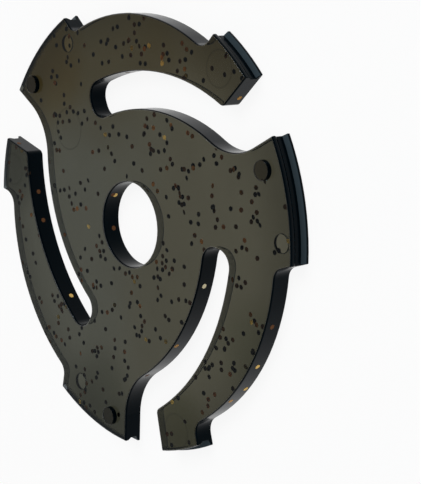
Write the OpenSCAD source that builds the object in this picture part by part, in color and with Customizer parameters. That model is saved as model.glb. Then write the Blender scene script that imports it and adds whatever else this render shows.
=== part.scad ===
// Record spindle adapter: a one-piece moulded insert that fills the large centre hole of a
// 45 rpm record. A solid hub with the spindle bore carries three rigid rim pads. Beside each
// pad a tapered spring arm runs round to a short tip pad. The pads and tips share a rim with
// a front lip, a seat groove for the edge of the record and a wider back flange.
// The bore axis is Z, the back face lies on Z = 0 and the first pad is centred on +Y.

/* [Body] */
// Thickness between the two flat faces
body_t = 1.7; // [1.4:0.05:3]
// Diameter of the spindle bore
bore_d = 7.25; // [6:0.05:12]

/* [Rim] */
// Radius of the seat that the record's hole fits round
seat_r = 19.15; // [18.7:0.05:20]
// How far the front lip stands out past the seat
lip_out = 0.2; // [0.05:0.05:0.4]
// How far the back flange stands out past the seat
flange_out = 0.45; // [0.3:0.05:1]
// Thickness of the front lip at its edge
lip_t = 0.4; // [0.3:0.05:0.5]
// Height of the sloped side of the groove behind the lip
lip_slope = 0.3; // [0.1:0.05:0.35]
// Thickness of the back flange at its root
flange_t = 0.4; // [0.3:0.05:0.5]
// Height of the flange's sloped front side
flange_slope = 0.15; // [0.1:0.05:0.25]

/* [Pads and tips] */
// Angle that each rim pad covers
pad_sweep = 29.5; // [24:0.5:34]
// Angle that each tip pad covers
tip_sweep = 14.6; // [10:0.2:18]
// Angle of the open mouth between a tip and the next pad
mouth_sweep = 15.0; // [12:0.2:20]

/* [Spring arms] */
// Radius of the outer edge of the arms
arm_r = 17.65; // [17:0.05:18]
// Distance of the slot's arc centre from the bore axis
slot_off = 7; // [6:0.1:8]
// Direction of the slot's arc centre, from the middle of the pad
slot_dir = 157; // [152:0.5:162]
// Radius of the slot's hub side
slot_r = 16.5; // [16:0.1:17]
// Width of the slot between hub and arm
slot_w = 3.1; // [2.8:0.1:3.6]
// Direction of the slot's closed end seen from its arc centre, from the middle of the pad
slot_end_dir = -18.3; // [-24:0.1:-12]

/* [Corners] */
// Radius in the two corners of the slot's closed end
slot_corner_r = 1.35; // [0.4:0.05:1.35]
// Radius of the shoulder between the hub and the front wall of a pad
shoulder_r = 5.2; // [3:0.1:7]
// Radius in the corner between a pad and the arm's outer edge
pad_corner_r = 1.05; // [0.4:0.05:1.6]
// Slant of the pad's rear wall away from a radius
pad_slant = 20; // [0:1:28]
// Radius in the corner between a tip and the arm's outer edge
tip_corner_r = 1.35; // [0.4:0.05:1.6]
// Slant of the tip's rear wall away from a radius
tip_slant = 12; // [0:1:24]
// Rounding of the tip's inner corner
tip_round_r = 0.5; // [0.2:0.05:0.8]

/* [Marks] */
// Distance of the nub and the dimple from the bore axis
mark_r = 17.6; // [16.4:0.1:17.8]
// Direction of the nub from the middle of the pad
nub_dir = 8.25; // [6:0.25:10]
// Diameter of the nub
nub_d = 1.6; // [0.8:0.1:2]
// Height of the nub above the front face
nub_h = 0.4; // [0.2:0.05:0.8]
// Direction of the dimple from the middle of the pad
dimple_dir = -10.25; // [-10.5:0.25:-6]
// Diameter of the dimple
dimple_d = 1.5; // [0.8:0.1:1.8]
// Depth of the dimple in the back face
dimple_h = 0.3; // [0.1:0.05:0.6]

/* [Hidden] */
$fn = 128;
units = 3;
unit_sweep = 360 / units;
pad_mid = 90;
// Length that runs past everything it cuts or crosses
reach = 3 * seat_r;
// Overlap that keeps a rounding from leaving a sliver where it touches a wall
overlap = 0.0005;

// Directions of the walls of one unit, which runs clockwise from its pad
pad_front = pad_mid + pad_sweep / 2;
pad_rear = pad_front - pad_sweep;
next_front = pad_front - unit_sweep;
tip_front = next_front + mouth_sweep;
tip_rear = tip_front + tip_sweep;

lip_r = seat_r + lip_out;
// Radius of the plain disc that the shape is cut from
blank_r = seat_r + flange_out + 0.5;

function turned(a) = [cos(a), sin(a)];
function left_of(v) = [-v.y, v.x];

slot_c = slot_off * turned(pad_mid + slot_dir);
slot_far_r = slot_r + slot_w;
slot_end = pad_mid + slot_end_dir;

// Distance along unit vector v from point p to where it first meets the circle about c
// with radius r
function first_meeting(p, v, c, r) =
    let (o = p - c, b = v * o)
    -b - sqrt(b * b - o * o + r * r);

// Area in a corner that a circle of radius f, about m, cuts off, carried on past the two
// sides. The circle touches them at a and b, and k lies at the corner or past it
module corner(m, f, a, k, b) {
    difference() {
        polygon([for (p = [m, a, k, b]) m + 2 * (p - m)]);
        translate(m) circle(r = f + overlap);
    }
}

// Corner between the straight wall that runs from p along v and the outside of the circle
// about c with radius r, on the side of the wall that n points to
module wall_corner(p, v, n, f, c, r) {
    start = p + f * n;
    m = start + first_meeting(start, v, c, r + f) * v;
    foot = m - f * n;
    touch = c + (m - c) * r / (r + f);
    corner(m, f, foot, foot + norm(touch - foot) * v, touch);
}

// Open space outside a spring arm, between its pad and its tip
module arm_recess() {
    pad_edge = lip_r * turned(pad_rear);
    pad_v = -turned(pad_rear + pad_slant);
    tip_edge = lip_r * turned(tip_rear);
    tip_v = -turned(tip_rear - tip_slant);
    depth = seat_r / 2;
    difference() {
        polygon([
            pad_edge - reach * pad_v,
            pad_edge + depth * pad_v,
            tip_edge + depth * tip_v,
            tip_edge - reach * tip_v
        ]);
        circle(r = arm_r);
        wall_corner(pad_edge, pad_v, left_of(pad_v), pad_corner_r, [0, 0], arm_r);
        wall_corner(tip_edge, tip_v, -left_of(tip_v), tip_corner_r, [0, 0], arm_r);
    }
}

// One of the two corners of the slot's closed end, beside the slot wall of radius r. side
// is 1 where the slot lies outside that wall and -1 where it lies inside
module slot_corner(r, side) {
    mid_r = r + side * slot_corner_r;
    turn = asin(slot_corner_r / mid_r);
    foot_r = mid_r * cos(turn);
    past_r = side > 0 ? r * cos(turn) : r / cos(turn);
    corner(
        slot_c + mid_r * turned(slot_end - turn),
        slot_corner_r,
        slot_c + foot_r * turned(slot_end),
        slot_c + past_r * turned(slot_end),
        slot_c + r * turned(slot_end - turn)
    );
}

// Slot between the hub and a spring arm, from its closed end out through the mouth
module slot() {
    mouth_v = turned(next_front);
    tip_v = turned(tip_front);
    difference() {
        union() {
            intersection() {
                translate(slot_c) circle(r = slot_far_r);
                polygon([slot_c, slot_c + reach * turned(slot_end), reach * mouth_v, [0, 0]]);
            }
            polygon([[0, 0], reach * mouth_v, reach * tip_v]);
            wall_corner(reach * tip_v, -tip_v, left_of(tip_v), tip_round_r, slot_c, slot_far_r);
        }
        translate(slot_c) circle(r = slot_r);
        wall_corner(reach * mouth_v, -mouth_v, left_of(mouth_v), shoulder_r, slot_c, slot_r);
        slot_corner(slot_r, 1);
        slot_corner(slot_far_r, -1);
    }
}

// Half section of the space round the rim
module rim_space() {
    polygon([
        [seat_r + flange_out, -body_t],
        [seat_r + flange_out, flange_t - flange_slope],
        [seat_r, flange_t],
        [seat_r, body_t - lip_t - lip_slope],
        [lip_r, body_t - lip_t],
        [lip_r, 2 * body_t],
        [reach, 2 * body_t],
        [reach, -body_t]
    ]);
}

// Space round the rim of one pad or tip, which starts at angle from and covers sweep. It
// runs on by spare at each end, into the open space beside the pad or tip
module rim_cut(from, sweep) {
    spare = mouth_sweep / 3;
    rotate(from - spare)
        rotate_extrude(angle = sweep + 2 * spare) rim_space();
}

// The moulded insert
module adapter() {
    color([0.27, 0.27, 0.23])
    difference() {
        union() {
            cylinder(r = blank_r, h = body_t);
            for (i = [0:units - 1])
                rotate(i * unit_sweep + pad_mid + nub_dir)
                    translate([mark_r, 0, body_t / 2])
                        cylinder(d = nub_d, h = body_t / 2 + nub_h);
        }
        translate([0, 0, -body_t]) cylinder(d = bore_d, h = 3 * body_t);
        for (i = [0:units - 1])
            rotate(i * unit_sweep) {
                translate([0, 0, -body_t])
                    linear_extrude(height = 3 * body_t) {
                        arm_recess();
                        slot();
                    }
                rim_cut(pad_rear, pad_sweep);
                rim_cut(tip_front, tip_sweep);
                rotate(pad_mid + dimple_dir)
                    translate([mark_r, 0, -body_t])
                        cylinder(d = dimple_d, h = body_t + dimple_h);
            }
    }
}

adapter();
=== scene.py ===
"""Looks for the record spindle adapter: smoke-tinted clear plastic with glitter flakes moulded in."""
import math
import random

import bmesh
import bpy
from mathutils import Matrix, Vector
from mathutils.bvhtree import BVHTree


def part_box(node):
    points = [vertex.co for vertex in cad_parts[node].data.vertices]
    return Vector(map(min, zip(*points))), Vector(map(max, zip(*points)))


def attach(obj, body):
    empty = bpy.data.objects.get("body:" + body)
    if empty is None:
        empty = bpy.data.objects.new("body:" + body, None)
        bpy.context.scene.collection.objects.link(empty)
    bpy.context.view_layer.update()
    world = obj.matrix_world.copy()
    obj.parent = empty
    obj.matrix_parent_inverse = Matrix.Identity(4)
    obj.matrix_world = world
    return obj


MM = 0.001

# Camera, in the part's frame
CAMERA_PLACE = Vector((79.8793, -46.9151, 72.3990)) * MM
CAMERA_AIM = Vector((7.6463, -7.0761, 1.7270)) * MM
CAMERA_ROLL = math.radians(98.97)
CAMERA_LENS_MM = 102.51
CAMERA_SENSOR_MM = 36.0
CAMERA_NEAR = 5.0 * MM
CAMERA_FAR = 10.0

# Thickness of the moulding, and the radius past which its lip, groove and flange lie
BODY_T = 1.7 * MM
RIM_R = 18.6 * MM

# Rounding of the front edges, share of it that the other edges have, and the bend of a sharp edge
FRONT_ROUND = 0.19 * MM
OTHER_ROUND_SHARE = 0.35
ROUND_SEGMENTS = 4
SHARP_DEG = 25
# Points this close become one point, and faces that bend less than this become one face
WELD_GAP = 0.001 * MM
FLAT_DEG = 0.5
# An edge this close to the height of the front face belongs to it
LEVEL_GAP = 0.01 * MM

# Clear plastic: how it bends light, the tint of its reflections and how it takes up light
PLASTIC_IOR = 1.53
PLASTIC_GLINT = (0.12, 0.15, 0.18, 1.0)
SMOKE = (0.305, 0.31, 0.24, 1.0)
SMOKE_DENSITY = 1850.0

# Shades over the faces. A gradient runs along a direction in the face, between two distances
NO_TINT = (1.0, 1.0, 1.0, 1.0)
OLIVE_TINT = (0.94, 0.88, 0.78, 1.0)
OLIVE_ALONG = (0.74, -0.67)
OLIVE_FROM = -8.0 * MM
OLIVE_TO = 6.0 * MM
BROWN_TINT = (0.70, 0.60, 0.42, 1.0)
BROWN_ALONG = (0.5, 1.0)
BROWN_FROM = 5.0 * MM
BROWN_TO = 18.0 * MM
# How far soft patches push a gradient about
PATCH = 8.0 * MM
# Painted shade that darkens the faces towards the rim, between two distances from the bore axis
RIM_SHADE = (0.66, 0.66, 0.64, 1.0)
SHADE_FROM_R = 14.0 * MM
SHADE_TO_R = 19.0 * MM
# Shade of the nubs, which comes in between two heights above the front face
NUB_SHADE = (0.55, 0.45, 0.38, 1.0)
NUB_FROM_H = 0.1 * MM
NUB_TO_H = 0.2 * MM
# Share by which the mottle makes a face lighter or darker
MOTTLE = 0.12

# Soft patches over the faces, darker ones of painted shade and the first a browner tint: radius,
# distance from the bore axis, direction in degrees and tint
SHADE_AND_TINT_PATCHES = (
    (7.0 * MM, 17.3 * MM, 90.0, (1.0, 0.88, 0.62, 1.0)),
    (5.0 * MM, 17.3 * MM, 127.0, (0.64, 0.65, 0.62, 1.0)),
    (6.5 * MM, 17.0 * MM, 212.0, (0.68, 0.69, 0.64, 1.0)),
    (5.0 * MM, 17.3 * MM, 247.0, (0.74, 0.75, 0.62, 1.0)),
    (5.5 * MM, 17.0 * MM, 290.0, (0.82, 0.84, 0.78, 1.0)),
)
# Share of a patch's radius that has its full tint
SHADE_PATCH_CORE = 1 / 3

# Rings that the ejector pins left: how far a mark reaches to each side, and how dark it is
RING_W = 0.13 * MM
RING_SHADE = 0.42
# Radius, distance from the bore axis and direction in degrees
RINGS = (
    (1.45 * MM, 17.7 * MM, 7.5),
    (1.45 * MM, 17.7 * MM, 127.5),
    (1.45 * MM, 17.7 * MM, -112.5),
    (1.8 * MM, 11.3 * MM, 96.0),
)

# Walls, which are dark from outside with a faint painted blue sheen, and partly clear from inside the
# plastic with a painted slate reflection
WALL_DARK_AND_SHEEN = (0.0, 0.002, 0.0035, 1.0)
# Painted reflection of the sky, which makes the flange's upward slope lighter
FLANGE_PAINTED_SHEEN = (0.035, 0.05, 0.06, 1.0)
# Slate tint of the walls seen from inside, a painted reflection, and the share of them that is clear
INSIDE_TINT_AND_REFLECTION = (0.35, 0.45, 0.62, 1.0)
INSIDE_CLEAR = 0.5
WALL_ROUGHNESS = 0.1
WALL_GLOSS = 0.10

# Mask of the flat faces: how far their normal points up or down, how near they lie to the height
# of the front or back, and the strip inside the rim over which that height begins to count
FACE_UP = (0.62, 0.97)
FACE_MARGIN = 0.08 * MM
RIM_STRIP = 0.2 * MM
# Power of the mask that the tint of the faces follows
TINT_POWER = 4.0
# How far the flange's slope points up, where it takes the painted reflection of the sky
SLOPE_UP = (0.5, 0.9)

# Finish: the least and most roughness, the noise values that give them, and the ripple's height
ROUGHNESS_LOW = 0.04
ROUGHNESS_HIGH = 0.11
WEAR_CUT = (0.35, 0.7)
RIPPLE_H = 0.012 * MM

# Noises, as cells in a metre and layers of finer detail
PATCH_NOISE = (90.0, 2.0)
MOTTLE_NOISE = (260.0, 3.0)
WEAR_NOISE = (700.0, 4.0)
RIPPLE_NOISE = (350.0, 3.0)

# Flakes inside the plastic. A bias below 1 puts more of them near the front face
FLAKE_SEED = 11
FLAKE_COUNT = 440
FLAKE_D = 0.45 * MM
FLAKE_T = 0.03 * MM
FLAKE_SIDES = 6
FLAKE_TILT = 0.2
FRONT_BIAS = 0.35
FLAKE_ROUGHNESS = 0.5
FLAKE_GLOSS = 0.05
# Share of the flakes with a second one beside them, and how far off that lies, in flake widths
PAIR_SHARE = 0.25
PAIR_REACH = (1.2, 1.9)

# Flakes in the surface of the walls
WALL_FLAKE_COUNT = 30
# The front face's normal points up by more than this
FACE_LIMIT = 0.5
# A wall's normal points up or down by less than this
WALL_LIMIT = 0.1

# Colours of the flakes, each with the share of the flakes at which it starts: painted shade and
# painted glint that stand in for how one gold glitter catches the light
DEEP_FLAKE_SHADE_AND_GLINT = (
    (0.0, (0.006, 0.005, 0.003, 1)),
    (0.42, (0.05, 0.025, 0.008, 1)),
    (0.64, (0.17, 0.07, 0.025, 1)),
    (0.80, (0.32, 0.14, 0.04, 1)),
    (0.93, (0.85, 0.60, 0.20, 1)),
)
WALL_FLAKE_SHADE_AND_GLINT = (
    (0.0, (0.12, 0.05, 0.02, 1)),
    (0.35, (0.50, 0.26, 0.07, 1)),
    (0.65, (0.80, 0.52, 0.16, 1)),
    (0.88, (0.90, 0.78, 0.50, 1)),
)

# Floor, whose rim sweeps up into a backdrop
FLOOR_R = 1.5
FLOOR_GAP = 0.02 * MM
SWEEP_R = 0.6
SWEEP_STEPS = 12
TURN_STEPS = 64
FLOOR_COLOUR = (0.95, 0.95, 0.95, 1.0)
FLOOR_GLOW = 0.88

# Light. Each lamp has its place, its side, and how bright it makes a white surface that faces it
WORLD_COLOUR = (0.93, 0.97, 1.0, 1.0)
WORLD_STRENGTH = 0.35
LAMPS = {
    "key": ((0.35, 0.45, 0.75), 0.6, 0.45),
    "fill": ((0.5, -0.6, 0.6), 0.6, 0.25),
}


def new_material(name):
    """A material with an empty node tree but for its output."""
    material = bpy.data.materials.new(name)
    material.use_nodes = True
    tree = material.node_tree
    tree.nodes.clear()
    output = tree.nodes.new("ShaderNodeOutputMaterial")
    return material, tree, output


def new_object(name, data):
    """An object of the data, linked to the scene."""
    thing = bpy.data.objects.new(name, data)
    bpy.context.scene.collection.objects.link(thing)
    return thing


def feed(tree, slot, value):
    """Links a socket to the slot, or sets the slot to a plain value."""
    if isinstance(value, bpy.types.NodeSocket):
        tree.links.new(value, slot)
    else:
        slot.default_value = value


def maths(tree, operation, a, b=0.0, c=0.0):
    """A Math node; each of a, b and c is a socket or a number."""
    node = tree.nodes.new("ShaderNodeMath")
    node.operation = operation
    for slot, value in zip(node.inputs, (a, b, c)):
        feed(tree, slot, value)
    return node.outputs[0]


def ramp_between(tree, value, low, high):
    """0 where value is at low or short of it, 1 where it is at high or past it, smooth between."""
    node = tree.nodes.new("ShaderNodeMapRange")
    node.interpolation_type = "SMOOTHSTEP"
    tree.links.new(value, node.inputs["Value"])
    node.inputs["From Min"].default_value = low
    node.inputs["From Max"].default_value = high
    return node.outputs["Result"]


def mix_colours(tree, factor, a, b):
    """a where factor is 0, b where it is 1; each of a and b is a socket or a colour."""
    node = tree.nodes.new("ShaderNodeMix")
    node.data_type = "RGBA"
    tree.links.new(factor, node.inputs[0])
    feed(tree, node.inputs[6], a)
    feed(tree, node.inputs[7], b)
    return node.outputs[2]


def tinted(tree, colour, strength, tint):
    """The colour, multiplied by the tint where strength is 1 and as it was where that is 0."""
    node = tree.nodes.new("ShaderNodeVectorMath")
    node.operation = "MULTIPLY"
    tree.links.new(colour, node.inputs[0])
    tree.links.new(mix_colours(tree, strength, NO_TINT, tint), node.inputs[1])
    return node.outputs["Vector"]


def scaled(tree, colour, factor):
    """The colour, made lighter or darker by the factor."""
    node = tree.nodes.new("ShaderNodeVectorMath")
    node.operation = "SCALE"
    tree.links.new(colour, node.inputs[0])
    tree.links.new(factor, node.inputs["Scale"])
    return node.outputs["Vector"]


def noise(tree, place, cells_per_m, layers):
    """A noise between 0 and 1."""
    node = tree.nodes.new("ShaderNodeTexNoise")
    tree.links.new(place.outputs["Object"], node.inputs["Vector"])
    node.inputs["Scale"].default_value = cells_per_m
    node.inputs["Detail"].default_value = layers
    return node.outputs["Fac"]


def centred_noise(tree, place, cells_per_m, layers):
    """A noise between -0.5 and 0.5."""
    return maths(tree, "SUBTRACT", noise(tree, place, cells_per_m, layers), 0.5)


def upward(tree, place):
    """How far the surface faces up: 1 on the front, 0 on a wall and -1 on the back."""
    normal = tree.nodes.new("ShaderNodeSeparateXYZ")
    tree.links.new(place.outputs["Normal"], normal.inputs[0])
    return normal.outputs["Z"]


def along(tree, x, y, direction, patches):
    """Distance along a direction in the face, made uneven by the patches."""
    across = maths(tree, "MULTIPLY_ADD", y, direction[1], maths(tree, "MULTIPLY", patches, 2 * PATCH))
    return maths(tree, "MULTIPLY_ADD", x, direction[0], across)


def distance_from(tree, place, reach, direction):
    """Distance from the spot on the front face that lies at this reach and direction."""
    a = math.radians(direction)
    offset = tree.nodes.new("ShaderNodeVectorMath")
    offset.operation = "SUBTRACT"
    tree.links.new(place.outputs["Object"], offset.inputs[0])
    offset.inputs[1].default_value = (reach * math.cos(a), reach * math.sin(a), BODY_T)
    away = tree.nodes.new("ShaderNodeVectorMath")
    away.operation = "LENGTH"
    tree.links.new(offset.outputs["Vector"], away.inputs[0])
    return away.outputs["Value"]


def flat_face_mask(tree, place, radius, z):
    """1 on the flat faces of the moulding, 0 on its walls, its rounded edges and its rim groove."""
    facing = ramp_between(tree, maths(tree, "ABSOLUTE", upward(tree, place)), *FACE_UP)
    height = maths(tree, "ABSOLUTE", maths(tree, "SUBTRACT", z, BODY_T / 2))
    outer = ramp_between(tree, height, BODY_T / 2 - FACE_MARGIN, BODY_T / 2 - FACE_MARGIN / 2)
    inner = ramp_between(tree, radius, RIM_R, RIM_R - RIM_STRIP)
    return maths(tree, "MULTIPLY", facing, maths(tree, "MAXIMUM", outer, inner))


def ring_marks(tree, place, z):
    """1 on a faint ring in the front face and 0 off it."""
    total = 0.0
    for radius, reach, direction in RINGS:
        away = distance_from(tree, place, reach, direction)
        off_ring = maths(tree, "ABSOLUTE", maths(tree, "SUBTRACT", away, radius))
        total = maths(tree, "ADD", total, ramp_between(tree, off_ring, RING_W, 0.0))
    return maths(tree, "MULTIPLY", total, ramp_between(tree, z, BODY_T / 2, BODY_T - FACE_MARGIN))


def face_colour(tree, place, x, y, z, radius):
    """Colour of the flat faces: gradients, painted shade towards the rim, patches of painted shade and
    tint, nubs, mottle and rings.
    """
    patches = centred_noise(tree, place, *PATCH_NOISE)
    olive = ramp_between(tree, along(tree, x, y, OLIVE_ALONG, patches), OLIVE_FROM, OLIVE_TO)
    brown = ramp_between(tree, along(tree, x, y, BROWN_ALONG, patches), BROWN_FROM, BROWN_TO)
    colour = mix_colours(tree, olive, NO_TINT, OLIVE_TINT)
    colour = tinted(tree, colour, brown, BROWN_TINT)
    # Painted shade, darker towards the rim
    colour = tinted(tree, colour, ramp_between(tree, radius, SHADE_FROM_R, SHADE_TO_R), RIM_SHADE)
    # Soft patches of painted shade, and one browner tint
    for patch_r, reach, direction, tint in SHADE_AND_TINT_PATCHES:
        away = distance_from(tree, place, reach, direction)
        colour = tinted(tree, colour, ramp_between(tree, away, patch_r, patch_r * SHADE_PATCH_CORE), tint)
    nub = ramp_between(tree, z, BODY_T + NUB_FROM_H, BODY_T + NUB_TO_H)
    colour = tinted(tree, colour, nub, NUB_SHADE)
    mottle = centred_noise(tree, place, *MOTTLE_NOISE)
    marks = maths(tree, "MULTIPLY_ADD", ring_marks(tree, place, z), -RING_SHADE, 1.0)
    return scaled(tree, colour, maths(tree, "MULTIPLY_ADD", mottle, 2 * MOTTLE, marks))


def wall_colour(tree, place, z, inside):
    """Colour of the walls: dark with a faint painted blue sheen, lighter on the flange's slope with a
    painted reflection, and a painted slate reflection from inside.
    """
    # Painted reflection of the sky on the flange's slope where it faces up, low down
    slope = ramp_between(tree, upward(tree, place), *SLOPE_UP)
    flange = maths(tree, "MULTIPLY", slope, ramp_between(tree, z, BODY_T / 2, BODY_T / 4))
    dark = mix_colours(tree, flange, WALL_DARK_AND_SHEEN, FLANGE_PAINTED_SHEEN)
    # Painted slate reflection on the walls seen from inside the plastic
    return mix_colours(tree, inside, dark, INSIDE_TINT_AND_REFLECTION)


def finish_roughness(tree, place, clear):
    """Roughness that varies all over and is higher on the walls."""
    wear = tree.nodes.new("ShaderNodeMapRange")
    tree.links.new(noise(tree, place, *WEAR_NOISE), wear.inputs["Value"])
    wear.inputs["From Min"].default_value = WEAR_CUT[0]
    wear.inputs["From Max"].default_value = WEAR_CUT[1]
    wear.inputs["To Min"].default_value = ROUGHNESS_LOW
    wear.inputs["To Max"].default_value = ROUGHNESS_HIGH
    rough = maths(tree, "MULTIPLY", maths(tree, "SUBTRACT", 1.0, clear), WALL_ROUGHNESS)
    return maths(tree, "ADD", wear.outputs["Result"], rough)


def rippled_normal(tree, place):
    """Normal of a surface with a slight ripple."""
    bump = tree.nodes.new("ShaderNodeBump")
    bump.inputs["Strength"].default_value = 1.0
    bump.inputs["Distance"].default_value = RIPPLE_H
    tree.links.new(noise(tree, place, *RIPPLE_NOISE), bump.inputs["Height"])
    return bump.outputs["Normal"]


def smoke_plastic():
    """Clear plastic that takes up light on its way through, with darker walls."""
    material, tree, output = new_material("smoke_plastic")
    place = tree.nodes.new("ShaderNodeTexCoord")
    parts = tree.nodes.new("ShaderNodeSeparateXYZ")
    tree.links.new(place.outputs["Object"], parts.inputs[0])
    x, y, z = parts.outputs
    radius = maths(tree, "SQRT", maths(tree, "MULTIPLY_ADD", x, x, maths(tree, "MULTIPLY", y, y)))
    inside = tree.nodes.new("ShaderNodeNewGeometry").outputs["Backfacing"]
    clear = flat_face_mask(tree, place, radius, z)
    face = face_colour(tree, place, x, y, z, radius)
    wall = wall_colour(tree, place, z, inside)
    tint = mix_colours(tree, maths(tree, "POWER", clear, TINT_POWER), wall, face)
    see_through = maths(tree, "MAXIMUM", clear, maths(tree, "MULTIPLY", inside, INSIDE_CLEAR))
    surface = tree.nodes.new("ShaderNodeBsdfPrincipled")
    tree.links.new(tint, surface.inputs["Base Color"])
    tree.links.new(see_through, surface.inputs["Transmission Weight"])
    tree.links.new(finish_roughness(tree, place, clear), surface.inputs["Roughness"])
    tree.links.new(rippled_normal(tree, place), surface.inputs["Normal"])
    surface.inputs["Specular IOR Level"].default_value = WALL_GLOSS
    surface.inputs["IOR"].default_value = PLASTIC_IOR
    surface.inputs["Specular Tint"].default_value = PLASTIC_GLINT
    volume = tree.nodes.new("ShaderNodeVolumeAbsorption")
    volume.inputs["Color"].default_value = SMOKE
    volume.inputs["Density"].default_value = SMOKE_DENSITY
    tree.links.new(surface.outputs["BSDF"], output.inputs["Surface"])
    tree.links.new(volume.outputs["Volume"], output.inputs["Volume"])
    return material


def store_on_edges(tree, geometry, name, data_type, value):
    """The geometry, with the value stored on its edges under the name."""
    node = tree.nodes.new("GeometryNodeStoreNamedAttribute")
    node.data_type = data_type
    node.domain = "EDGE"
    node.inputs["Name"].default_value = name
    tree.links.new(geometry, node.inputs["Geometry"])
    tree.links.new(value, node.inputs["Value"])
    return node.outputs[0]


def edge_weights():
    """Nodes that shade sharp edges sharp and weigh those that stand out for the rounding."""
    tree = bpy.data.node_groups.new("edge_weights", "GeometryNodeTree")
    for in_out in ("INPUT", "OUTPUT"):
        tree.interface.new_socket("Geometry", in_out=in_out, socket_type="NodeSocketGeometry")
    source = tree.nodes.new("NodeGroupInput")
    result = tree.nodes.new("NodeGroupOutput")
    bend = tree.nodes.new("GeometryNodeInputMeshEdgeAngle")
    place = tree.nodes.new("GeometryNodeInputPosition")
    parts = tree.nodes.new("ShaderNodeSeparateXYZ")
    tree.links.new(place.outputs[0], parts.inputs[0])
    sharp = maths(tree, "GREATER_THAN", bend.outputs["Unsigned Angle"], math.radians(SHARP_DEG))
    ridge = maths(tree, "GREATER_THAN", bend.outputs["Signed Angle"], math.radians(SHARP_DEG))
    front = maths(tree, "COMPARE", parts.outputs["Z"], BODY_T, LEVEL_GAP)
    share = maths(tree, "MULTIPLY_ADD", front, 1 - OTHER_ROUND_SHARE, OTHER_ROUND_SHARE)
    weight = maths(tree, "MULTIPLY", ridge, share)
    bare = tree.nodes.new("GeometryNodeRemoveAttribute")
    bare.inputs["Name"].default_value = "custom_normal"
    tree.links.new(source.outputs[0], bare.inputs["Geometry"])
    weighed = store_on_edges(tree, bare.outputs[0], "bevel_weight_edge", "FLOAT", weight)
    crisp = store_on_edges(tree, weighed, "sharp_edge", "BOOLEAN", sharp)
    tree.links.new(crisp, result.inputs[0])
    return tree


def dress_plastic(node):
    """Rounds the moulding's edges and gives it the plastic."""
    join = node.modifiers.new("join", "WELD")
    join.merge_threshold = WELD_GAP
    flatten = node.modifiers.new("flatten", "DECIMATE")
    flatten.decimate_type = "DISSOLVE"
    flatten.angle_limit = math.radians(FLAT_DEG)
    weights = node.modifiers.new("weights", "NODES")
    weights.node_group = edge_weights()
    edges = node.modifiers.new("edges", "BEVEL")
    edges.width = FRONT_ROUND
    edges.segments = ROUND_SEGMENTS
    edges.limit_method = "WEIGHT"
    edges.use_clamp_overlap = False
    edges.harden_normals = True
    node.data.materials.clear()
    node.data.materials.append(smoke_plastic())


def flake_material(name, stops):
    """Each flake takes one of the colours of painted shade and glint, by where its random number falls
    among the stops.
    """
    material, tree, output = new_material(name)
    surface = tree.nodes.new("ShaderNodeBsdfPrincipled")
    which = tree.nodes.new("ShaderNodeNewGeometry")
    shades = tree.nodes.new("ShaderNodeValToRGB")
    tree.links.new(which.outputs["Random Per Island"], shades.inputs["Fac"])
    ramp = shades.color_ramp
    ramp.interpolation = "CONSTANT"
    ramp.elements.remove(ramp.elements[1])
    ramp.elements[0].color = stops[0][1]
    for position, colour in stops[1:]:
        ramp.elements.new(position).color = colour
    tree.links.new(shades.outputs["Color"], surface.inputs["Base Color"])
    surface.inputs["Roughness"].default_value = FLAKE_ROUGHNESS
    surface.inputs["Specular IOR Level"].default_value = FLAKE_GLOSS
    tree.links.new(surface.outputs["BSDF"], output.inputs["Surface"])
    return material


def add_flake(bm, centre, normal, spin):
    """A hexagonal platelet."""
    turn = normal.to_track_quat("Z", "Y").to_matrix().to_4x4()
    place = Matrix.Translation(centre) @ turn @ Matrix.Rotation(spin, 4, "Z")
    r = FLAKE_D / 2
    bmesh.ops.create_cone(
        bm, cap_ends=True, segments=FLAKE_SIDES, radius1=r, radius2=r, depth=FLAKE_T, matrix=place
    )


def flake_spot(rng, low, high):
    """A random place in the box, oftener near the front, and a direction near the vertical."""
    centre = Vector([rng.uniform(a, b) for a, b in zip(low, high)])
    centre.z = BODY_T * rng.random() ** FRONT_BIAS
    tilt = Vector((rng.gauss(0, FLAKE_TILT), rng.gauss(0, FLAKE_TILT), 1.0)).normalized()
    return centre, tilt


def fits_inside(tree, centre, tilt):
    """Whether a flake there lies wholly inside the moulding, with plastic over it up to a face."""
    _, normal, _, gap = tree.find_nearest(centre)
    above, facing, _, _ = tree.ray_cast(centre, Vector((0, 0, 1)))
    room = FLAKE_T + FLAKE_D / 2 * math.sqrt(max(0.0, 1 - tilt.dot(normal) ** 2))
    return above is not None and facing.z > FACE_LIMIT and gap > room


def flake_piece(name, bm, material):
    """One piece of all the flakes in bm."""
    mesh = bpy.data.meshes.new(name)
    bm.to_mesh(mesh)
    bm.free()
    mesh.materials.append(material)
    piece = new_object(name, mesh)
    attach(piece, "root")


def make_deep_flakes(tree, rng, low, high):
    """Flakes inside the moulding, most of them nearly flat and some in pairs."""
    bm = bmesh.new()
    placed = 0
    waiting = []
    while placed < FLAKE_COUNT:
        centre, tilt = waiting.pop() if waiting else flake_spot(rng, low, high)
        if fits_inside(tree, centre, tilt):
            add_flake(bm, centre, tilt, rng.uniform(0, math.tau))
            placed += 1
            if rng.random() < PAIR_SHARE:
                turn = rng.uniform(0, math.tau)
                step = rng.uniform(*PAIR_REACH) * FLAKE_D
                beside = centre + step * Vector((math.cos(turn), math.sin(turn), 0))
                waiting.append((beside, flake_spot(rng, low, high)[1]))
    flake_piece("flakes", bm, flake_material("glitter_flakes", DEEP_FLAKE_SHADE_AND_GLINT))


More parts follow.
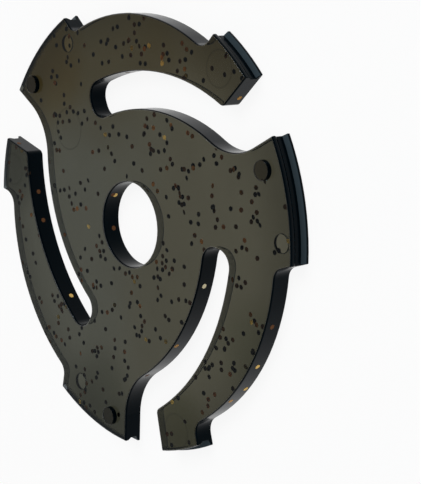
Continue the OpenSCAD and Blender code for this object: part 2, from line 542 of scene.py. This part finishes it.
def make_wall_flakes(tree, rng, low, high):
    """Flakes that lie in the surface of the walls."""
    bm = bmesh.new()
    placed = 0
    while placed < WALL_FLAKE_COUNT:
        centre, _ = flake_spot(rng, low, high)
        near, normal, _, gap = tree.find_nearest(centre)
        on_wall = abs(normal.z) < WALL_LIMIT and FLAKE_D < near.z < BODY_T - FLAKE_D
        if on_wall and gap < FLAKE_D and near.xy.length < RIM_R:
            add_flake(bm, near, normal, rng.uniform(0, math.tau))
            placed += 1
    flake_piece("wall_flakes", bm, flake_material("wall_glitter", WALL_FLAKE_SHADE_AND_GLINT))


def make_flakes(node):
    """All the glitter, tested against the moulding's own surface."""
    rng = random.Random(FLAKE_SEED)
    solid = bmesh.new()
    solid.from_mesh(node.data)
    tree = BVHTree.FromBMesh(solid)
    solid.free()
    low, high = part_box("adapter")
    make_deep_flakes(tree, rng, low, high)
    make_wall_flakes(tree, rng, low, high)


def make_camera():
    """A camera that looks down on the part at a slant."""
    data = bpy.data.cameras.new("camera")
    data.lens = CAMERA_LENS_MM
    data.sensor_width = CAMERA_SENSOR_MM
    data.clip_start = CAMERA_NEAR
    data.clip_end = CAMERA_FAR
    camera = new_object("camera", data)
    look = (CAMERA_AIM - CAMERA_PLACE).to_track_quat("-Z", "Y")
    turn = Matrix.Rotation(-CAMERA_ROLL, 4, "Z")
    camera.matrix_world = Matrix.Translation(CAMERA_PLACE) @ look.to_matrix().to_4x4() @ turn
    bpy.context.scene.camera = camera


def floor_mesh():
    """A round floor whose rim sweeps up into a backdrop all round."""
    profile = [(0.0, 0.0), (FLOOR_R, 0.0)]
    for i in range(1, SWEEP_STEPS + 1):
        a = math.pi / 2 * i / SWEEP_STEPS
        profile.append((FLOOR_R + SWEEP_R * math.sin(a), SWEEP_R * (1 - math.cos(a))))
    bm = bmesh.new()
    verts = [bm.verts.new((r, 0, z)) for r, z in profile]
    edges = [bm.edges.new(pair) for pair in zip(verts, verts[1:])]
    geom = verts + edges
    bmesh.ops.spin(
        bm, geom=geom, cent=(0, 0, 0), axis=(0, 0, 1), angle=math.tau, steps=TURN_STEPS, use_merge=True
    )
    bmesh.ops.remove_doubles(bm, verts=bm.verts, dist=WELD_GAP)
    mesh = bpy.data.meshes.new("floor")
    bm.to_mesh(mesh)
    bm.free()
    mesh.polygons.foreach_set("use_smooth", [True] * len(mesh.polygons))
    return mesh


def floor_material():
    """Pale and matt, and nearly white where it is seen straight, in a gloss or through the plastic."""
    material, tree, output = new_material("floor")
    lit = tree.nodes.new("ShaderNodeBsdfDiffuse")
    lit.inputs["Color"].default_value = FLOOR_COLOUR
    white = tree.nodes.new("ShaderNodeEmission")
    path = tree.nodes.new("ShaderNodeLightPath")
    seen = maths(tree, "MAXIMUM", path.outputs["Is Camera Ray"], path.outputs["Is Glossy Ray"])
    seen = maths(tree, "MAXIMUM", seen, path.outputs["Is Transmission Ray"])
    mix = tree.nodes.new("ShaderNodeMixShader")
    tree.links.new(maths(tree, "MULTIPLY", seen, FLOOR_GLOW), mix.inputs[0])
    tree.links.new(lit.outputs[0], mix.inputs[1])
    tree.links.new(white.outputs[0], mix.inputs[2])
    tree.links.new(mix.outputs[0], output.inputs["Surface"])
    return material


def make_floor():
    """The floor, just under the part."""
    mesh = floor_mesh()
    mesh.materials.append(floor_material())
    floor = new_object("floor", mesh)
    floor.location.z = -FLOOR_GAP


def make_lamp(name, place, size, strength):
    """A square soft lamp that faces the part and makes a white surface there as bright as strength."""
    data = bpy.data.lights.new(name, "AREA")
    data.size = size
    data.energy = strength * math.pi * Vector(place).length_squared * math.pi
    lamp = new_object(name, data)
    lamp.location = place
    lamp.rotation_euler = (-Vector(place)).to_track_quat("-Z", "Y").to_euler()


def make_lights():
    """An even pale sky and the lamps."""
    world = bpy.data.worlds.new("world")
    bpy.context.scene.world = world
    world.use_nodes = True
    sky = world.node_tree.nodes["Background"]
    sky.inputs["Color"].default_value = WORLD_COLOUR
    sky.inputs["Strength"].default_value = WORLD_STRENGTH
    for name, (place, size, strength) in LAMPS.items():
        make_lamp(name, place, size, strength)


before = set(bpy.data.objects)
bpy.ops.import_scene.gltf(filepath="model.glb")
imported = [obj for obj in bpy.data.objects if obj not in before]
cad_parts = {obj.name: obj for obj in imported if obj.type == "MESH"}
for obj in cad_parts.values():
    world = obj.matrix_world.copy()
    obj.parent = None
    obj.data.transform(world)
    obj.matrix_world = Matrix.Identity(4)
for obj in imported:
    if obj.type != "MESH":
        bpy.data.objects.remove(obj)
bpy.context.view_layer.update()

make_camera()
make_floor()
make_lights()
dress_plastic(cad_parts["adapter"])
make_flakes(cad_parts["adapter"])

bpy.context.scene.view_settings.view_transform = "Standard"
